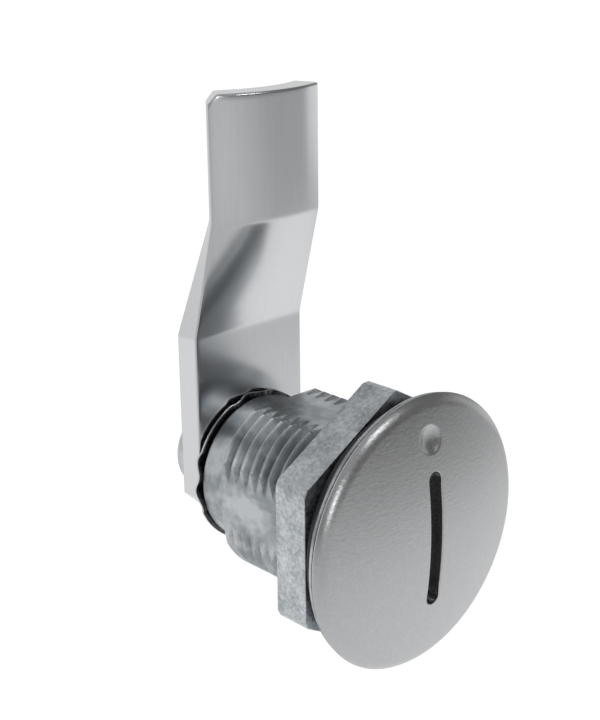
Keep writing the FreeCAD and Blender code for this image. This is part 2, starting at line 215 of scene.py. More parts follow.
def streak_group():
    """Fine parallel scratches along the piece, from noise stretched forty-fold along Z."""
    group, start, end = new_group("belt_streaks", {"Scale": 3000.0}, ["Value", "Cloud"])
    streaks = object_noise(group, start.outputs["Scale"], stretch=(1, 1, 0.025), detail=3.0)
    cloud = object_noise(group, 160.0, detail=3.0)
    group.links.new(streaks, end.inputs["Value"])
    group.links.new(cloud, end.inputs["Cloud"])
    return group


grain, blotches, streaks = grain_group(), blotch_group(), streak_group()
print("groups:", [g.name for g in (grain, blotches, streaks)])

# %% [markdown]
# ## Finishes
#
# A finish is a colour range and a roughness range driven by one of the structures, with a very
# shallow relief. Stainless steel is neutral grey, zinc is slightly blue, and the spring washer is
# almost black with bright sheared edges.

# %%
# Materials


def new_material(name, metallic, **constants):
    material = bpy.data.materials.new(name)
    material.use_nodes = True
    tree = material.node_tree
    shader = tree.nodes["Principled BSDF"]
    shader.inputs["Metallic"].default_value = metallic
    for label, value in constants.items():
        shader.inputs[label.replace("_", " ")].default_value = value
    return material, tree, shader


def use_group(tree, group, **values):
    node = tree.nodes.new("ShaderNodeGroup")
    node.node_tree = group
    for label, value in values.items():
        node.inputs[label].default_value = value
    return node


def colour_range(tree, shader, factor, dark, light, low=0.35, high=0.65):
    """Base colour that runs from dark to light while the factor runs from low to high."""
    ramp = add_node(tree, "ShaderNodeMapRange", _0=factor, _1=low, _2=high)
    mix = add_node(tree, "ShaderNodeMix", {"data_type": "RGBA"}, _0=ramp.outputs[0],
                   _6=(*dark, 1), _7=(*light, 1))
    tree.links.new(mix.outputs[2], shader.inputs["Base Color"])


def roughness_range(tree, shader, factor, smooth, rough):
    """Roughness that runs from smooth to rough while the factor runs from 0.3 to 0.7."""
    ramp = add_node(tree, "ShaderNodeMapRange", _0=factor, _1=0.3, _2=0.7, _3=smooth, _4=rough)
    tree.links.new(ramp.outputs[0], shader.inputs["Roughness"])


def relief(tree, shader, height, depth_mm):
    bump = add_node(tree, "ShaderNodeBump", Strength=1.0, Distance=depth_mm * MM, Height=height)
    tree.links.new(bump.outputs[0], shader.inputs["Normal"])


def blasted_steel():
    """Even grey with soft ripples across the dome; painted shade darkens the colour inside the milled
    slot.
    """
    material, tree, shader = new_material("blasted_steel", 1.0)
    pits = use_group(tree, grain, Scale=2300.0)
    ripples = object_noise(tree, 3000.0, stretch=(0.45, 1.0, 1.0), detail=1.0)
    ramp = add_node(tree, "ShaderNodeMapRange", _0=pits.outputs["Value"], _1=0.35, _2=0.65)
    steel = add_node(tree, "ShaderNodeMix", {"data_type": "RGBA"}, _0=ramp.outputs[0],
                     _6=(0.49, 0.495, 0.50, 1), _7=(0.545, 0.55, 0.56, 1))
    # Painted shade: the base colour turns dark grey with the depth inside the slot, from 0.3 mm to 0.9
    # mm down.
    depth = add_node(tree, "ShaderNodeAttribute", {"attribute_name": "depth"}).outputs["Fac"]
    painted_slot_shade = add_node(tree, "ShaderNodeMapRange", _0=depth, _1=0.30, _2=0.9)
    mix = add_node(tree, "ShaderNodeMix", {"data_type": "RGBA"}, _0=painted_slot_shade.outputs[0],
                   _6=steel.outputs[2], _7=(0.34, 0.34, 0.34, 1))
    tree.links.new(mix.outputs[2], shader.inputs["Base Color"])
    roughness_range(tree, shader, pits.outputs["Value"], 0.29, 0.35)
    relief(tree, shader, ripples, 0.018)
    return material


def cast_zinc():
    """Soft clouds some millimetres wide, drawn out along the barrel, with little fine grain."""
    material, tree, shader = new_material("cast_zinc", 1.0)
    clouds = object_noise(tree, 240.0, stretch=(1.0, 0.5, 1.0), detail=3.0, roughness=0.5)
    zinc = use_group(tree, blotches, Scale=700.0)
    both = math_node(tree, "ADD", math_node(tree, "MULTIPLY", clouds, 0.7),
                     math_node(tree, "MULTIPLY", zinc.outputs["Patches"], 0.3))
    colour_range(tree, shader, both, (0.30, 0.325, 0.345), (0.575, 0.60, 0.615), 0.43, 0.58)
    roughness_range(tree, shader, both, 0.33, 0.44)
    relief(tree, shader, both, 0.02)
    return material


def galvanised_steel():
    """Coarse mottle of grey and pale zinc, with a slightly rough skin."""
    material, tree, shader = new_material("galvanised_steel", 1.0)
    zinc = use_group(tree, blotches, Scale=380.0)
    both = math_node(tree, "ADD", math_node(tree, "MULTIPLY", zinc.outputs["Patches"], 0.45),
                     math_node(tree, "MULTIPLY", zinc.outputs["Mottle"], 0.55))
    colour_range(tree, shader, both, (0.33, 0.36, 0.38), (0.76, 0.79, 0.815), 0.36, 0.64)
    roughness_range(tree, shader, both, 0.34, 0.55)
    relief(tree, shader, zinc.outputs["Height"], 0.03)
    return material


def satin_steel():
    """Fine belt streaks along the cam in an even grey."""
    material, tree, shader = new_material("satin_steel", 1.0)
    belt = use_group(tree, streaks, Scale=5200.0)
    colour_range(tree, shader, belt.outputs["Value"], (0.670, 0.680, 0.695), (0.690, 0.700, 0.715))
    roughness_range(tree, shader, belt.outputs["Cloud"], 0.21, 0.25)
    relief(tree, shader, belt.outputs["Value"], 0.0001)
    return material


def plated_steel():
    """Bright zinc plating with a faint grain."""
    material, tree, shader = new_material("plated_steel", 1.0)
    pits = use_group(tree, grain, Scale=2200.0)
    colour_range(tree, shader, pits.outputs["Value"], (0.50, 0.51, 0.53), (0.62, 0.63, 0.65))
    roughness_range(tree, shader, pits.outputs["Value"], 0.22, 0.34)
    relief(tree, shader, pits.outputs["Height"], 0.004)
    return material


def spring_steel():
    """Near-black faces, partly blued steel and partly painted shade of the narrow gap, and bright
    sheared edges: the faces are where the normal runs along the axis.
    """
    material, tree, shader = new_material("spring_steel", 1.0)
    normal = add_node(tree, "ShaderNodeTexCoord").outputs["Normal"]
    along = add_node(tree, "ShaderNodeSeparateXYZ", Vector=normal).outputs["Y"]
    face = add_node(tree, "ShaderNodeMapRange", _0=math_node(tree, "ABSOLUTE", along),
                    _1=0.45, _2=0.75)
    pits = use_group(tree, grain, Scale=1500.0)
    blued = add_node(tree, "ShaderNodeMapRange", _0=pits.outputs["Value"], _1=0.35, _2=0.65)
    # Painted shade: the near-black face colour also stands in for the shade in the gap between collar
    # and cam.
    dark = add_node(tree, "ShaderNodeMix", {"data_type": "RGBA"}, _0=blued.outputs[0],
                    _6=(0.06, 0.06, 0.065, 1), _7=(0.15, 0.15, 0.16, 1))
    mix = add_node(tree, "ShaderNodeMix", {"data_type": "RGBA"}, _0=face.outputs[0],
                   _6=(0.62, 0.62, 0.62, 1), _7=dark.outputs[2])
    tree.links.new(mix.outputs[2], shader.inputs["Base Color"])
    roughness_range(tree, shader, pits.outputs["Value"], 0.26, 0.38)
    relief(tree, shader, pits.outputs["Height"], 0.003)
    return material


def seal_rubber():
    """Matt black rubber with a little dust."""
    material, tree, shader = new_material("seal_rubber", 0.0)
    dust = use_group(tree, grain, Scale=2600.0)
    colour_range(tree, shader, dust.outputs["Value"], (0.012, 0.012, 0.013), (0.035, 0.035, 0.036))
    roughness_range(tree, shader, dust.outputs["Value"], 0.55, 0.75)
    relief(tree, shader, dust.outputs["Height"], 0.01)
    return material


finishes = {
    "blasted_steel": blasted_steel(),
    "cast_zinc": cast_zinc(),
    "galvanised_steel": galvanised_steel(),
    "satin_steel": satin_steel(),
    "plated_steel": plated_steel(),
    "spring_steel": spring_steel(),
    "seal_rubber": seal_rubber(),
}


def finish_piece(piece, slot, body, stands_for=None):
    """Gives a piece its material and its place among the moving bodies."""
    piece.data.materials.append(finishes[slot])
    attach(piece, body)
    if stands_for:
        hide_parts(stands_for)


print("finishes:", sorted(finishes))

# %% [markdown]
# ## Cover and spindle
#
# The cover is turned from stainless bar with its spindle and then blasted. The coin slot was
# milled and its edge rounded by the blasting. Its rings start on the slot's floor, climb the wall,
# roll over the edge and then grow from the slot's long outline to the round rim, so the slot needs
# no cutting. The index dimple is pressed in by a ball.

# %%
# Cover, spindle and drive square
SLOT_LENGTH, SLOT_WIDTH, SLOT_DEPTH = 15.5, 1.8, 2.6
SLOT_EDGE_RADIUS = 0.2
RIM_RADIUS, EDGE_ANGLE, BACK_ROUND = 2.2, math.radians(60), 0.3
COVER_GAP = 0.1
DIMPLE_INSET, DIMPLE_DIAMETER, DIMPLE_DEPTH, DIMPLE_EDGE = 4.34, 3.3, 0.5, 0.03
COVER_AROUND = 448
LAND_RADIUS, LAND_GAP = 9.0, 0.03   # raised ring under the cover that rests on the flange
SPINDLE_DIAMETER = 11.9
CAM_THICKNESS = 3.3

cam_front = cam_high[1] - CAM_THICKNESS
flange_front = housing_low[1]
cover_radius = rotor_high[0]
dome_top = rotor_low[1]
cover_back = flange_front - COVER_GAP
cover_edge = cover_back - BACK_ROUND

# The dome's arc meets the smaller arc of the rim without an edge
rim_centre = cover_radius - RIM_RADIUS * math.sin(EDGE_ANGLE)
rim_middle = cover_edge + RIM_RADIUS * math.cos(EDGE_ANGLE)
rise = rim_middle - dome_top
DOME_RADIUS = (rim_centre ** 2 + rise ** 2 - RIM_RADIUS ** 2) / (2 * (rise - RIM_RADIUS))
dome_centre = dome_top + DOME_RADIUS
dome_lean = math.asin(rim_centre / (DOME_RADIUS - RIM_RADIUS))
dimple_offset = cover_radius - DIMPLE_INSET


def slot_outline(grow):
    """Slot with round ends, widened by grow: equal steps along its length, from the right side."""
    half = (SLOT_LENGTH - SLOT_WIDTH) / 2
    radius = SLOT_WIDTH / 2 + grow
    straight, arc = 2 * half, math.pi * SLOT_WIDTH / 2
    total = 2 * (straight + arc)
    s = (np.arange(COVER_AROUND) / COVER_AROUND * total + half) % total
    on_right, on_top = s < straight, (s >= straight) & (s < straight + arc)
    on_left = (s >= straight + arc) & (s < 2 * straight + arc)
    turn_top = (s - straight) / arc * np.pi
    turn_low = (s - 2 * straight - arc) / arc * np.pi
    x = np.select([on_right, on_top, on_left], [radius, radius * np.cos(turn_top), -radius],
                  -radius * np.cos(turn_low))
    z = np.select([on_right, on_top, on_left],
                  [s - half, half + radius * np.sin(turn_top), half - (s - straight - arc)],
                  -half - radius * np.sin(turn_low))
    return x, z


def dome_y(x, z):
    """Height of the dome with its dimple: a soft maximum of two spheres.

    dome = c - sqrt(R^2 - r^2); dimple = the ball's inner side; with the gap g between them the
    dome sinks by (g + sqrt(g^2 + e^2)) / 2, less what that is too much at a gap of one.
    """
    dome = dome_centre - np.sqrt(DOME_RADIUS ** 2 - x ** 2 - z ** 2)
    ball = (DIMPLE_DIAMETER ** 2 / 4 + DIMPLE_DEPTH ** 2) / (2 * DIMPLE_DEPTH)
    lean = math.asin(dimple_offset / DOME_RADIUS)
    distance = DOME_RADIUS + ball - DIMPLE_DEPTH
    centre_y = dome_centre - distance * math.cos(lean)
    centre_z = distance * math.sin(lean)
    inside = np.maximum(ball ** 2 - x ** 2 - (z - centre_z) ** 2, 0.0)
    pressed = np.where(inside > 0, centre_y + np.sqrt(inside), dome - 1.0)
    gap = pressed - dome
    too_much = 0.5 * (np.sqrt(1 + DIMPLE_EDGE ** 2) - 1)
    soft = (gap + np.sqrt(gap ** 2 + DIMPLE_EDGE ** 2)) / 2 - too_much
    return dome + np.where(gap > -0.8, np.maximum(soft, 0.0), 0.0)


def cover_rings():
    floor = dome_top + SLOT_DEPTH
    rings = []
    for share in (0.0, 0.5, 0.92):
        x, z = slot_outline(-SLOT_WIDTH / 2 * (1 - share))
        rings.append(np.stack([x, np.full_like(x, floor), z], -1))
    x, z = slot_outline(0.0)
    for drop in np.linspace(SLOT_DEPTH - 0.1, 0.5, 6):
        rings.append(np.stack([x, np.full_like(x, dome_top + drop), z], -1))
    for turn in np.linspace(0, np.pi / 2, 7):
        x, z = slot_outline(SLOT_EDGE_RADIUS * (1 - math.cos(turn)))
        y = dome_y(x, z) + SLOT_EDGE_RADIUS * (1 - math.sin(turn))
        rings.append(np.stack([x, y, z], -1))
    angle = np.arange(COVER_AROUND) * 2 * np.pi / COVER_AROUND
    edge = DOME_RADIUS * math.sin(dome_lean)
    slot_x, slot_z = slot_outline(SLOT_EDGE_RADIUS)
    for t in np.linspace(0, 1, 132)[1:]:
        x = (1 - t) * slot_x + t * edge * np.cos(angle)
        z = (1 - t) * slot_z + t * edge * np.sin(angle)
        rings.append(np.stack([x, dome_y(x, z), z], -1))
    return np.array(rings)


def cover_back_profile():
    """Rounded rim, back edge, underside, land and spindle as (radius, y) points."""
    turn = np.linspace(dome_lean, EDGE_ANGLE, 18)[1:]
    rim = np.stack([rim_centre + RIM_RADIUS * np.sin(turn), rim_middle - RIM_RADIUS * np.cos(turn)], -1)
    turn = np.linspace(0, np.pi / 2, 8)
    back = np.stack([cover_radius - BACK_ROUND + BACK_ROUND * np.cos(turn),
                     cover_edge + BACK_ROUND * np.sin(turn)], -1)
    land_face, spindle = flange_front - LAND_GAP, SPINDLE_DIAMETER / 2
    under = [(LAND_RADIUS, cover_back), (LAND_RADIUS, land_face), (spindle, land_face),
             (spindle, cam_front), (0.001, cam_front)]
    return np.concatenate([rim, back, np.array(under)])


def store_depth(piece):
    """Point attribute "depth": how far a point lies inside the slot, 0 on the dome and 1 at 1 mm."""
    mesh = piece.data
    spots = np.empty(len(mesh.vertices) * 3)
    mesh.vertices.foreach_get("co", spots)
    x, y, z = spots.reshape(-1, 3).T / MM
    near = (np.abs(x) < SLOT_WIDTH) & (np.abs(z) < SLOT_LENGTH / 2 + SLOT_WIDTH)
    near &= y < cover_edge
    below = y - (dome_centre - np.sqrt(DOME_RADIUS ** 2 - np.minimum(x ** 2 + z ** 2, 200)))
    depth = np.where(near, np.clip(below, 0, 1), 0)
    mesh.attributes.new("depth", "FLOAT", "POINT").data.foreach_set("value", depth)


lower = turned(cover_back_profile(), COVER_AROUND)
cover = ring_mesh("cover", np.concatenate([cover_rings(), lower]))
store_depth(cover)
finish_piece(cover, "blasted_steel", "turning_set", "rotor")

# %% [markdown]
# ## Housing
#
# The housing is a zinc casting: a thin round flange, a barrel with a fine thread and four flats
# that stop it turning in the hole, and a plain collar. The thread is a true right-hand helix. Its
# rings climb by one pitch per turn, and the flats clip the radius wherever it would stand past
# them, which gives the short toothed arcs between the flats.

# %%
# Flange, threaded barrel and collar
THREAD_RADIUS, THREAD_PITCH, THREAD_DEPTH = 11.0, 1.5, 0.82
THREAD_LENGTH = 18.95
LAST_CREST = 18.58
CREST_VIEW_ANGLE = 130.0           # where the rearmost crest stands at that place
FLATS_WIDTH = 19.6
COLLAR_RADIUS, COLLAR_SUNK = 8.85, 1.0   # the collar's rings start inside the barrel
BORE_RADIUS = 6.0
ROWS_PER_PITCH = 12
FLANGE_BEVEL = 1.2


def barrel_angles():
    """Angles round the barrel: dense where a flat cuts the thread and sparse on the flats."""
    quarter = np.concatenate([
        np.linspace(-14, 14, 8, endpoint=False), np.linspace(14, 28, 40, endpoint=False),
        np.linspace(28, 62, 24, endpoint=False), np.linspace(62, 76, 40, endpoint=False),
    ])
    return np.radians(np.concatenate([quarter + 90 * i for i in range(4)]))


def thread_height(phase):
    """Share of the depth at a phase of the pitch: flat crest, straight flank, round root.

    h = clip(1 - (|p| - c) / f, 0, 1), softened as h^2 (3 - 2h) near its ends.
    """
    away = np.abs((phase + 0.5) % 1 - 0.5)
    height = np.clip(1 - (away - 0.05) / 0.34, 0, 1)
    return 0.75 * height + 0.25 * height ** 2 * (3 - 2 * height)


def barrel_rings():
    angle = barrel_angles()
    start = flange_front / 2
    rows = math.ceil((THREAD_LENGTH - start) / THREAD_PITCH + 2) * ROWS_PER_PITCH
    climb = -THREAD_PITCH * (angle - angle[0]) / (2 * np.pi)
    row = np.arange(rows + 1)[:, None]
    place = start + row * THREAD_PITCH / ROWS_PER_PITCH + climb
    turned_by = (np.degrees(angle) - CREST_VIEW_ANGLE) / 360
    y = np.clip(place, start, THREAD_LENGTH)
    phase = (y - LAST_CREST) / THREAD_PITCH + turned_by
    radius = THREAD_RADIUS - THREAD_DEPTH * (1 - thread_height(phase))
    limit = FLATS_WIDTH / 2 / np.maximum(np.abs(np.cos(angle)), np.abs(np.sin(angle)))
    radius = np.minimum(radius, limit)
    return np.stack([radius * np.cos(angle), y, radius * np.sin(angle)], -1)


barrel = ring_mesh("barrel", barrel_rings(), shift=-ROWS_PER_PITCH, sharp_angle=24.0)
finish_piece(barrel, "cast_zinc", "lock_body", "housing")

flange_radius = housing_high[0]
flange_outline = rounded([(BORE_RADIUS, 0.0), (BORE_RADIUS, flange_front),
                          (flange_radius, flange_front), (flange_radius, -FLANGE_BEVEL),
                          (flange_radius - FLANGE_BEVEL, 0.0), (BORE_RADIUS, 0.0)], 0.1)
flange = ring_mesh("flange", turned(flange_outline))
finish_piece(flange, "cast_zinc", "lock_body")

rear_rim = housing_high[1]
collar_start = THREAD_LENGTH - COLLAR_SUNK
collar_outline = rounded([(BORE_RADIUS, collar_start), (COLLAR_RADIUS, collar_start),
                          (COLLAR_RADIUS, rear_rim), (BORE_RADIUS, rear_rim),
                          (BORE_RADIUS, collar_start)], 0.3)
collar = ring_mesh("collar", turned(collar_outline))
finish_piece(collar, "cast_zinc", "lock_body")

# %% [markdown]
# ## Gasket, nut and wave washer
#
# A thin rubber ring lies against the flange. The nut is pressed from steel and hot galvanised, with
# blunt corners and soft edges under the zinc. The wave washer is blued spring strip: four groups
# of two waves press the cam back and take up the play.

# %%
# Gasket, mounting nut and wave washer
NUT_WIDTH, NUT_CORNER_RADIUS, NUT_EDGE = 27.0, 15.35, 0.12
NUT_BORE_RADIUS, GASKET_BORE_RADIUS = 11.1, 11.2
WAVE_RADIUS, WAVE_INNER, WAVE_THICKNESS = 9.25, 6.3, 0.3
WAVE_ANGLE, WAVE_FLAT_CENTRE, WAVE_CLEARANCE = 24.5, 134.0, 0.04


def nut_outline(inset, around=480):
    """Hexagon with a corner up and its corners turned off: r = min(hexagon, corner circle)."""
    angle = np.arange(around) * 2 * np.pi / around
    folded = np.abs((angle - np.pi / 2) % (np.pi / 3) - np.pi / 6)
    hexagon = (NUT_WIDTH / 2 - inset) / np.cos(folded)
    radius = np.minimum(hexagon, NUT_CORNER_RADIUS - inset)
    return radius * np.cos(angle), radius * np.sin(angle)


def nut_rings():
    low, high = nut_low[1], nut_high[1]
    turn = np.linspace(0, np.pi / 2, 6)
    path = [(NUT_EDGE * (1 - math.sin(t)), low + NUT_EDGE * (1 - math.cos(t))) for t in turn]
    path += [(NUT_EDGE * (1 - math.cos(t)), high - NUT_EDGE * (1 - math.sin(t))) for t in turn]
    rings = []
    for inset, y in path:
        x, z = nut_outline(inset)
        rings.append(np.stack([x, np.full_like(x, y), z], -1))
    bore = turned(rounded([(NUT_BORE_RADIUS + 2, high), (NUT_BORE_RADIUS, high),
                           (NUT_BORE_RADIUS, low), (NUT_BORE_RADIUS + 2, low)], 0.3), 480)
    return np.concatenate([np.array(rings), bore, np.array(rings[:1])])


def wave_rings(around=720):
    """Section carried round with its height following groups of two sine waves."""
    angle = np.arange(around) * 2 * np.pi / around
    waves = 2 * WAVE_ANGLE
    along = (np.degrees(angle) - WAVE_FLAT_CENTRE) % 90 - (90 - waves) / 2
    height = np.where((along < 0) | (along > waves), 0.0, -np.sin(2 * np.pi * along / WAVE_ANGLE))
    space = cam_front - rear_rim
    middle = (rear_rim + cam_front) / 2 - ((space - WAVE_THICKNESS) / 2 - WAVE_CLEARANCE) * height
    half = WAVE_THICKNESS / 2
    section = rounded([(WAVE_INNER + 1, -half), (WAVE_RADIUS, -half), (WAVE_RADIUS, half),
                       (WAVE_INNER, half), (WAVE_INNER, -half), (WAVE_INNER + 1, -half)], 0.06, 4)
    radius, lift = section[:, :1], section[:, 1:]
    return np.stack([radius * np.cos(angle), middle + lift, radius * np.sin(angle)], -1)




def flat_ring(bore, low, high, edge):
    """Rings of a flat ring with soft edges: from the middle of its bore round and back again."""
    middle, rim = (low[1] + high[1]) / 2, high[0]
    return turned(rounded([(bore, middle), (bore, low[1]), (rim, low[1]), (rim, high[1]),
                           (bore, high[1]), (bore, middle)], edge))


gasket = ring_mesh("gasket", flat_ring(GASKET_BORE_RADIUS, gasket_low, gasket_high, 0.2))
finish_piece(gasket, "seal_rubber", "lock_body", "panel_gasket")

nut = ring_mesh("nut", nut_rings(), sharp_angle=20.0)
finish_piece(nut, "galvanised_steel", "lock_body", "mounting_nut")

wave = ring_mesh("wave_spring", wave_rings())
finish_piece(wave, "spring_steel", "lock_body", "wave_washer")

# %% [markdown]
# ## Cam
#
# The cam is cast in stainless steel and finished on a belt: a flat base on the square, a sloped
# web, and a tip bent to a curve that rides up on the frame. Its rings are sections across the cam.
# Each is a blend of the flat section and the curved one, and the blend eases in and out over the
# two soft bends.

# %%
# Cam
CAM_CRANK = 4.45
LOWER_BEND, UPPER_BEND, BEND_SOFTNESS = 17.55, 30.8, 0.24
TIP_RADIUS, TIP_CREST_OFFSET = 15.0, 2.7
TIP_LEAD_ANGLE, TIP_TRAIL_ANGLE, TIP_CHAMFER = 38.0, 21.5, 1.1
CAM_EDGE, CAM_END_EDGE = 0.3, 0.32
BOTTOM_CHAMFER = 6.0


def section_walk():
    """Places round a section: share across, 0 to 1, and depth, 0 in front to 1 at the back."""
    r_u, r_v = CAM_EDGE / (2 * cam_high[0]), CAM_EDGE / CAM_THICKNESS
    turn = np.linspace(0, np.pi / 2, 6)
    corner_u, corner_v = r_u * (1 - np.sin(turn)), r_v * (1 - np.cos(turn))
    across = np.linspace(r_u, 1 - r_u, 40)[1:-1]
    down = np.linspace(r_v, 1 - r_v, 7)[1:-1]
    u = np.concatenate([across, 1 - corner_u, np.ones(5), 1 - corner_u[::-1], across[::-1],
                        corner_u, np.zeros(5), corner_u[::-1]])
    v = np.concatenate([0 * across, corner_v, down, 1 - corner_v[::-1], 0 * across + 1,
                        1 - corner_v, down[::-1], corner_v[::-1]])
    return u, v


def cam_section(u, v):
    """Flat and curved section at the same places: arrays (x, y) for each."""
    flat = np.stack([(2 * u - 1) * cam_high[0], cam_front + CAM_THICKNESS * v], -1)
    angle = np.radians(-TIP_LEAD_ANGLE + u * (TIP_LEAD_ANGLE + TIP_TRAIL_ANGLE))
    radius = TIP_RADIUS - CAM_THICKNESS * v
    centre_y = cam_front - CAM_CRANK + TIP_RADIUS
    curved = np.stack([TIP_CREST_OFFSET + radius * np.sin(angle),
                       centre_y - radius * np.cos(angle)], -1)
    return flat, curved


def bend_share(z):
    """Share of the curved section at a height: a ramp between the bends with eased ends.

    With s(x) = (x + sqrt(x^2 + e^2)) / 2, the share is (s(z - low) - s(z - high)) / (high - low).
    """
    def soft(x):
        return (x + np.sqrt(x ** 2 + BEND_SOFTNESS ** 2)) / 2
    return (soft(z - LOWER_BEND) - soft(z - UPPER_BEND)) / (UPPER_BEND - LOWER_BEND)


def cam_rings():
    u, v = section_walk()
    flat, curved = cam_section(u, v)
    middle_flat, middle_curved = cam_section(u, np.full_like(v, 0.5))
    top = cam_high[2] - np.maximum(0, TIP_CHAMFER - u * TIP_RADIUS * math.radians(
        TIP_LEAD_ANGLE + TIP_TRAIL_ANGLE))
    bottom = cam_low[2]
    turn = np.linspace(0, np.pi / 2, 6)

    def ring(z, inset):
        """Section at height z, drawn in towards its middle by inset on all sides."""
        share = bend_share(z)[:, None]
        skin = (1 - share) * flat + share * curved
        core = (1 - share) * middle_flat + share * middle_curved
        narrow = np.clip(z - bottom, 0, BOTTOM_CHAMFER) + cam_high[0] - BOTTOM_CHAMFER
        factor = (narrow / cam_high[0])[:, None] * [1, 0] + [0, 1]
        pull = min(inset / (CAM_THICKNESS / 2), 1.0)
        points = (skin * (1 - pull) + core * pull) * factor
        return np.stack([points[:, 0], points[:, 1], z], -1)

    rings = []
    full = np.ones_like(u)
    for inset in (CAM_THICKNESS / 2, 0.8):
        rings.append(ring(bottom * full, inset))
    for t in turn:
        rings.append(ring((bottom + CAM_END_EDGE * (1 - math.cos(t))) * full,
                          CAM_END_EDGE * (1 - math.sin(t))))
    places = np.concatenate([
        np.linspace(bottom + 0.6, bottom + BOTTOM_CHAMFER, 8),
        np.linspace(-1.5, LOWER_BEND - 3, 16), np.linspace(LOWER_BEND - 2, LOWER_BEND + 2, 41),
        np.linspace(LOWER_BEND + 3, UPPER_BEND - 3, 16),
        np.linspace(UPPER_BEND - 2, UPPER_BEND + 2, 41),
    ])
    for z in places:
        rings.append(ring(z * full, 0.0))
    for share in np.linspace(0, 1, 24)[1:]:
        rings.append(ring(places[-1] + share * (top - CAM_END_EDGE - places[-1]), 0.0))
    for t in turn[1:]:
        rings.append(ring(top - CAM_END_EDGE * (1 - math.sin(t)), CAM_END_EDGE * (1 - math.cos(t))))
    for inset in (0.8, CAM_THICKNESS / 2):
        rings.append(ring(top, inset))
    return np.array(rings)


cam = ring_mesh("cam_plate", cam_rings())
finish_piece(cam, "satin_steel", "turning_set", "cam")

# %% [markdown]
# ## Screw and washer
#
# A low socket screw and a flat washer hold the cam on the square. The head's knurl is left off, as
# such low heads are often plain. Its socket is pressed, so the rings pass from the round edge of
# the head to a hexagon.

# %%
# Washer and screw
SOCKET_WIDTH, SOCKET_DEPTH, SOCKET_BEVEL = 4.0, 2.2, 0.15
SCREW_RADIUS, WASHER_BORE_RADIUS = 3.0, 3.2


def hexagon_ring(width, y, around=240):
    """Regular hexagon with a corner up: r = (w/2) / cos(angle from the nearest flat's middle)."""
    angle = np.arange(around) * 2 * np.pi / around
    folded = np.abs((angle - np.pi / 2) % (np.pi / 3) - np.pi / 6)
    radius = width / 2 / np.cos(folded)
    return np.stack([radius * np.cos(angle), np.full(around, y), radius * np.sin(angle)], -1)


head = screw_high[0]
head_end = screw_high[1]
outside = turned(rounded([(0.001, screw_low[1]), (SCREW_RADIUS, screw_low[1]),
                          (SCREW_RADIUS, washer_high[1]), (head, washer_high[1]), (head, head_end),
                          (head - 1.5, head_end)], 0.45), 240)
socket = np.array([hexagon_ring(SOCKET_WIDTH + 2 * SOCKET_BEVEL, head_end),
                   hexagon_ring(SOCKET_WIDTH, head_end - SOCKET_BEVEL),
                   hexagon_ring(SOCKET_WIDTH, head_end - SOCKET_DEPTH),
                   hexagon_ring(0.01, head_end - SOCKET_DEPTH)])
screw = ring_mesh("screw", np.concatenate([outside, socket]))
finish_piece(screw, "plated_steel", "turning_set", "cam_screw")

washer = ring_mesh("washer", flat_ring(WASHER_BORE_RADIUS, washer_low, washer_high, 0.12))
finish_piece(washer, "plated_steel", "turning_set", "cam_washer")

# The O-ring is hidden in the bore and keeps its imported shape
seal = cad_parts["rotor_seal"]
seal.data.materials.clear()
seal.data.materials.append(finishes["seal_rubber"])

# %% [markdown]
# ## Studio
#
# Polished metal shows the room more than itself, so the room is planned by what each face mirrors.
# The cover mirrors the floor in front, which falls off into the dark, and the web mirrors the
# bright floor close by. The curved tip mirrors a second pool of light far out at the front left,
# and the left faces mirror a third one behind them. The upper faces mirror a pale wall. The camera
# itself sees the floor pure white, as in a product picture that was exposed for its background.

# %%
# Floor, world and lamps
FLOOR_DEPTH, FLOOR_HALF = 0.08, 6.0
POOL_DIM = 0.41
POOLS = [((0.10, 0.02), 0.45, 0.94),      # centre, radius and brightness: under the latch
         ((-0.20, -0.64), 0.56, 0.74),    # far out at the front left
         ((-0.22, 0.20), 0.62, 0.92)]     # behind at the left
REAR_START, REAR_END, REAR_DIM, REAR_BRIGHT = -0.30, 0.21, 0.22, 0.74
LAMPS = [("front_high", (0.07, -0.38, 0.45), 0.16, 0.05, 0.28),   # place, width, height, watts
         ("front_low", (-0.33, -0.50, 0.17), 0.05, 0.17, 0.30),
         ("right", (0.55, -0.07, 0.05), 0.3, 0.3, 0.12)]
WALL_DIM, CEILING, WALL_BRIGHT = 0.17, 0.48, 0.78
CEILING_SIDE = (-0.5, 0.2, 0.84)   # direction of the grey part of the ceiling, one long


def light_pool_group():
    """Brightness of the floor: the largest of three round pools and a rise towards the back.

    Each pool falls smoothly with the distance from its centre, down to the same dim value.
    """
    group, start, end = new_group("light_pool", {"Dim": 0.3, "Seen": 0.0}, ["Value"])
    coordinates = add_node(group, "ShaderNodeTexCoord").outputs["Object"]
    lit = start.outputs["Dim"]
    for (x, y), radius, bright in POOLS:
        away = add_node(group, "ShaderNodeVectorMath", {"operation": "DISTANCE"}, _0=coordinates,
                        _1=(x, y, -FLOOR_DEPTH)).outputs["Value"]
        pool = add_node(group, "ShaderNodeMapRange", {"interpolation_type": "SMOOTHSTEP"}, _0=away,
                        _1=0.0, _2=radius, _3=bright, _4=start.outputs["Dim"])
        lit = math_node(group, "MAXIMUM", lit, pool.outputs[0])
    depth = add_node(group, "ShaderNodeSeparateXYZ", Vector=coordinates).outputs["Y"]
    rear = add_node(group, "ShaderNodeMapRange", _0=depth, _1=REAR_START, _2=REAR_END,
                    _3=REAR_DIM, _4=REAR_BRIGHT)
    lit = math_node(group, "MAXIMUM", lit, rear.outputs[0])
    seen = math_node(group, "MAXIMUM", lit, start.outputs["Seen"])
    group.links.new(seen, end.inputs["Value"])
    return group


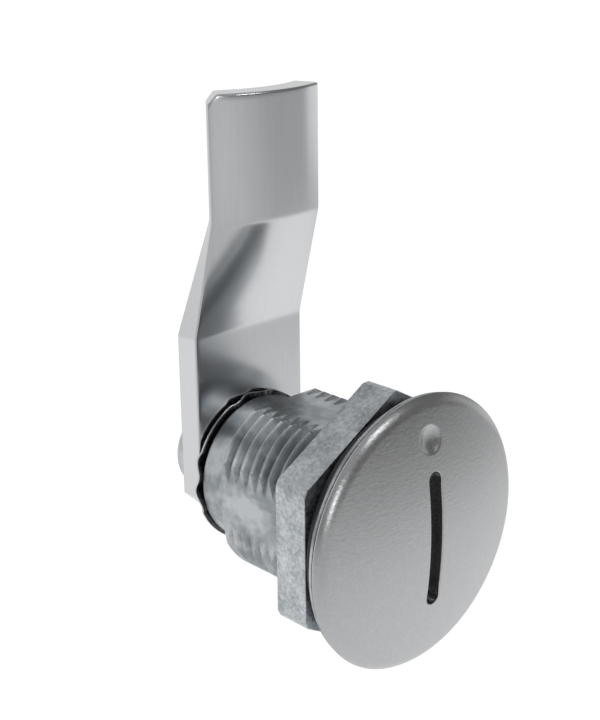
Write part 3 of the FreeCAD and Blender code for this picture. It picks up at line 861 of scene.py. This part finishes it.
def floor_plane():
    half = FLOOR_HALF
    mesh = bpy.data.meshes.new("floor")
    corners = [(x, y, -FLOOR_DEPTH) for x, y in
               ((-half, -half), (half, -half), (half, half), (-half, half))]
    mesh.from_pydata(corners, [], [(0, 1, 2, 3)])
    floor = bpy.data.objects.new("floor", mesh)
    bpy.context.scene.collection.objects.link(floor)
    material, tree, shader = new_material("floor_white", 0.0, Roughness=0.9)
    pool = use_group(tree, light_pool_group(), Dim=POOL_DIM)
    seen = add_node(tree, "ShaderNodeLightPath").outputs["Is Camera Ray"]
    tree.links.new(seen, pool.inputs["Seen"])
    tree.links.new(pool.outputs["Value"], shader.inputs["Emission Color"])
    shader.inputs["Base Color"].default_value = (0.02, 0.02, 0.02, 1)
    shader.inputs["Emission Strength"].default_value = 1.0
    mesh.materials.append(material)


def room():
    """Walls that are dark in front, grey at the upper left and pale behind the latch.

    Past the edge of the floor the camera itself sees plain white, as on the floor.
    """
    world = bpy.data.worlds.new("studio")
    world.use_nodes = True
    tree = world.node_tree
    direction = add_node(tree, "ShaderNodeTexCoord").outputs["Generated"]
    above = add_node(tree, "ShaderNodeVectorMath", {"operation": "DOT_PRODUCT"}, _0=direction,
                     _1=CEILING_SIDE).outputs["Value"]
    ceiling = add_node(tree, "ShaderNodeMapRange", {"interpolation_type": "SMOOTHSTEP"}, _0=above,
                       _1=0.3, _2=0.95, _3=WALL_DIM, _4=CEILING)
    behind = add_node(tree, "ShaderNodeSeparateXYZ", Vector=direction).outputs["Y"]
    pale = add_node(tree, "ShaderNodeMapRange", {"interpolation_type": "SMOOTHSTEP"}, _0=behind,
                    _1=-0.1, _2=0.75, _3=0.0, _4=WALL_BRIGHT)
    value = math_node(tree, "MAXIMUM", ceiling.outputs[0], pale.outputs[0])
    seen = add_node(tree, "ShaderNodeLightPath").outputs["Is Camera Ray"]
    value = math_node(tree, "MAXIMUM", value, seen)
    grey = add_node(tree, "ShaderNodeCombineColor", _0=value, _1=value, _2=value)
    tree.links.new(grey.outputs[0], tree.nodes["Background"].inputs["Color"])
    bpy.context.scene.world = world


def lamp(name, place, width, height, power):
    """Soft box at a place in metres, turned towards the latch, with its width level."""
    light = bpy.data.lights.new(name, "AREA")
    light.shape = "RECTANGLE"
    light.size, light.size_y = width, height
    light.energy = power
    holder = bpy.data.objects.new(name, light)
    turn = (-Vector(place)).to_track_quat("-Z", "Y").to_matrix().to_4x4()
    holder.matrix_world = Matrix.Translation(place) @ turn
    bpy.context.scene.collection.objects.link(holder)


floor_plane()
room()
for settings in LAMPS:
    lamp(*settings)
print("lamps:", [settings[0] for settings in LAMPS])

# %% [markdown]
# ## Camera
#
# The photograph looks at the cover from its left and a little above, with a long lens from close
# by. The view direction is given by its azimuth and elevation, and a small roll levels the picture
# as the original has it.

# %%
# Camera
VIEW_AZIMUTH, VIEW_ELEVATION, VIEW_ROLL = -43.39, 19.34, -0.645   # degrees
CAMERA_PLACE = (-103.24, -93.08, 68.03)                           # millimetres
LENS = 70.175


def photo_camera():
    azimuth, elevation, roll = (math.radians(v) for v in (VIEW_AZIMUTH, VIEW_ELEVATION, VIEW_ROLL))
    forward = np.array([-math.sin(azimuth) * math.cos(elevation),
                        math.cos(azimuth) * math.cos(elevation), -math.sin(elevation)])
    level = np.array([math.cos(azimuth), math.sin(azimuth), 0.0])
    up = np.cross(level, forward)
    right = level * math.cos(roll) + up * math.sin(roll)
    upright = up * math.cos(roll) - level * math.sin(roll)
    turn = np.stack([right, upright, -forward], axis=1)
    data = bpy.data.cameras.new("photo_camera")
    data.lens = LENS
    data.clip_start, data.clip_end = 0.01, 20.0
    camera = bpy.data.objects.new("photo_camera", data)
    place = Matrix.Translation(np.array(CAMERA_PLACE) * MM)
    camera.matrix_world = place @ Matrix(turn.tolist()).to_4x4()
    bpy.context.scene.collection.objects.link(camera)
    bpy.context.scene.camera = camera


photo_camera()
bpy.context.scene.view_settings.view_transform = "Standard"
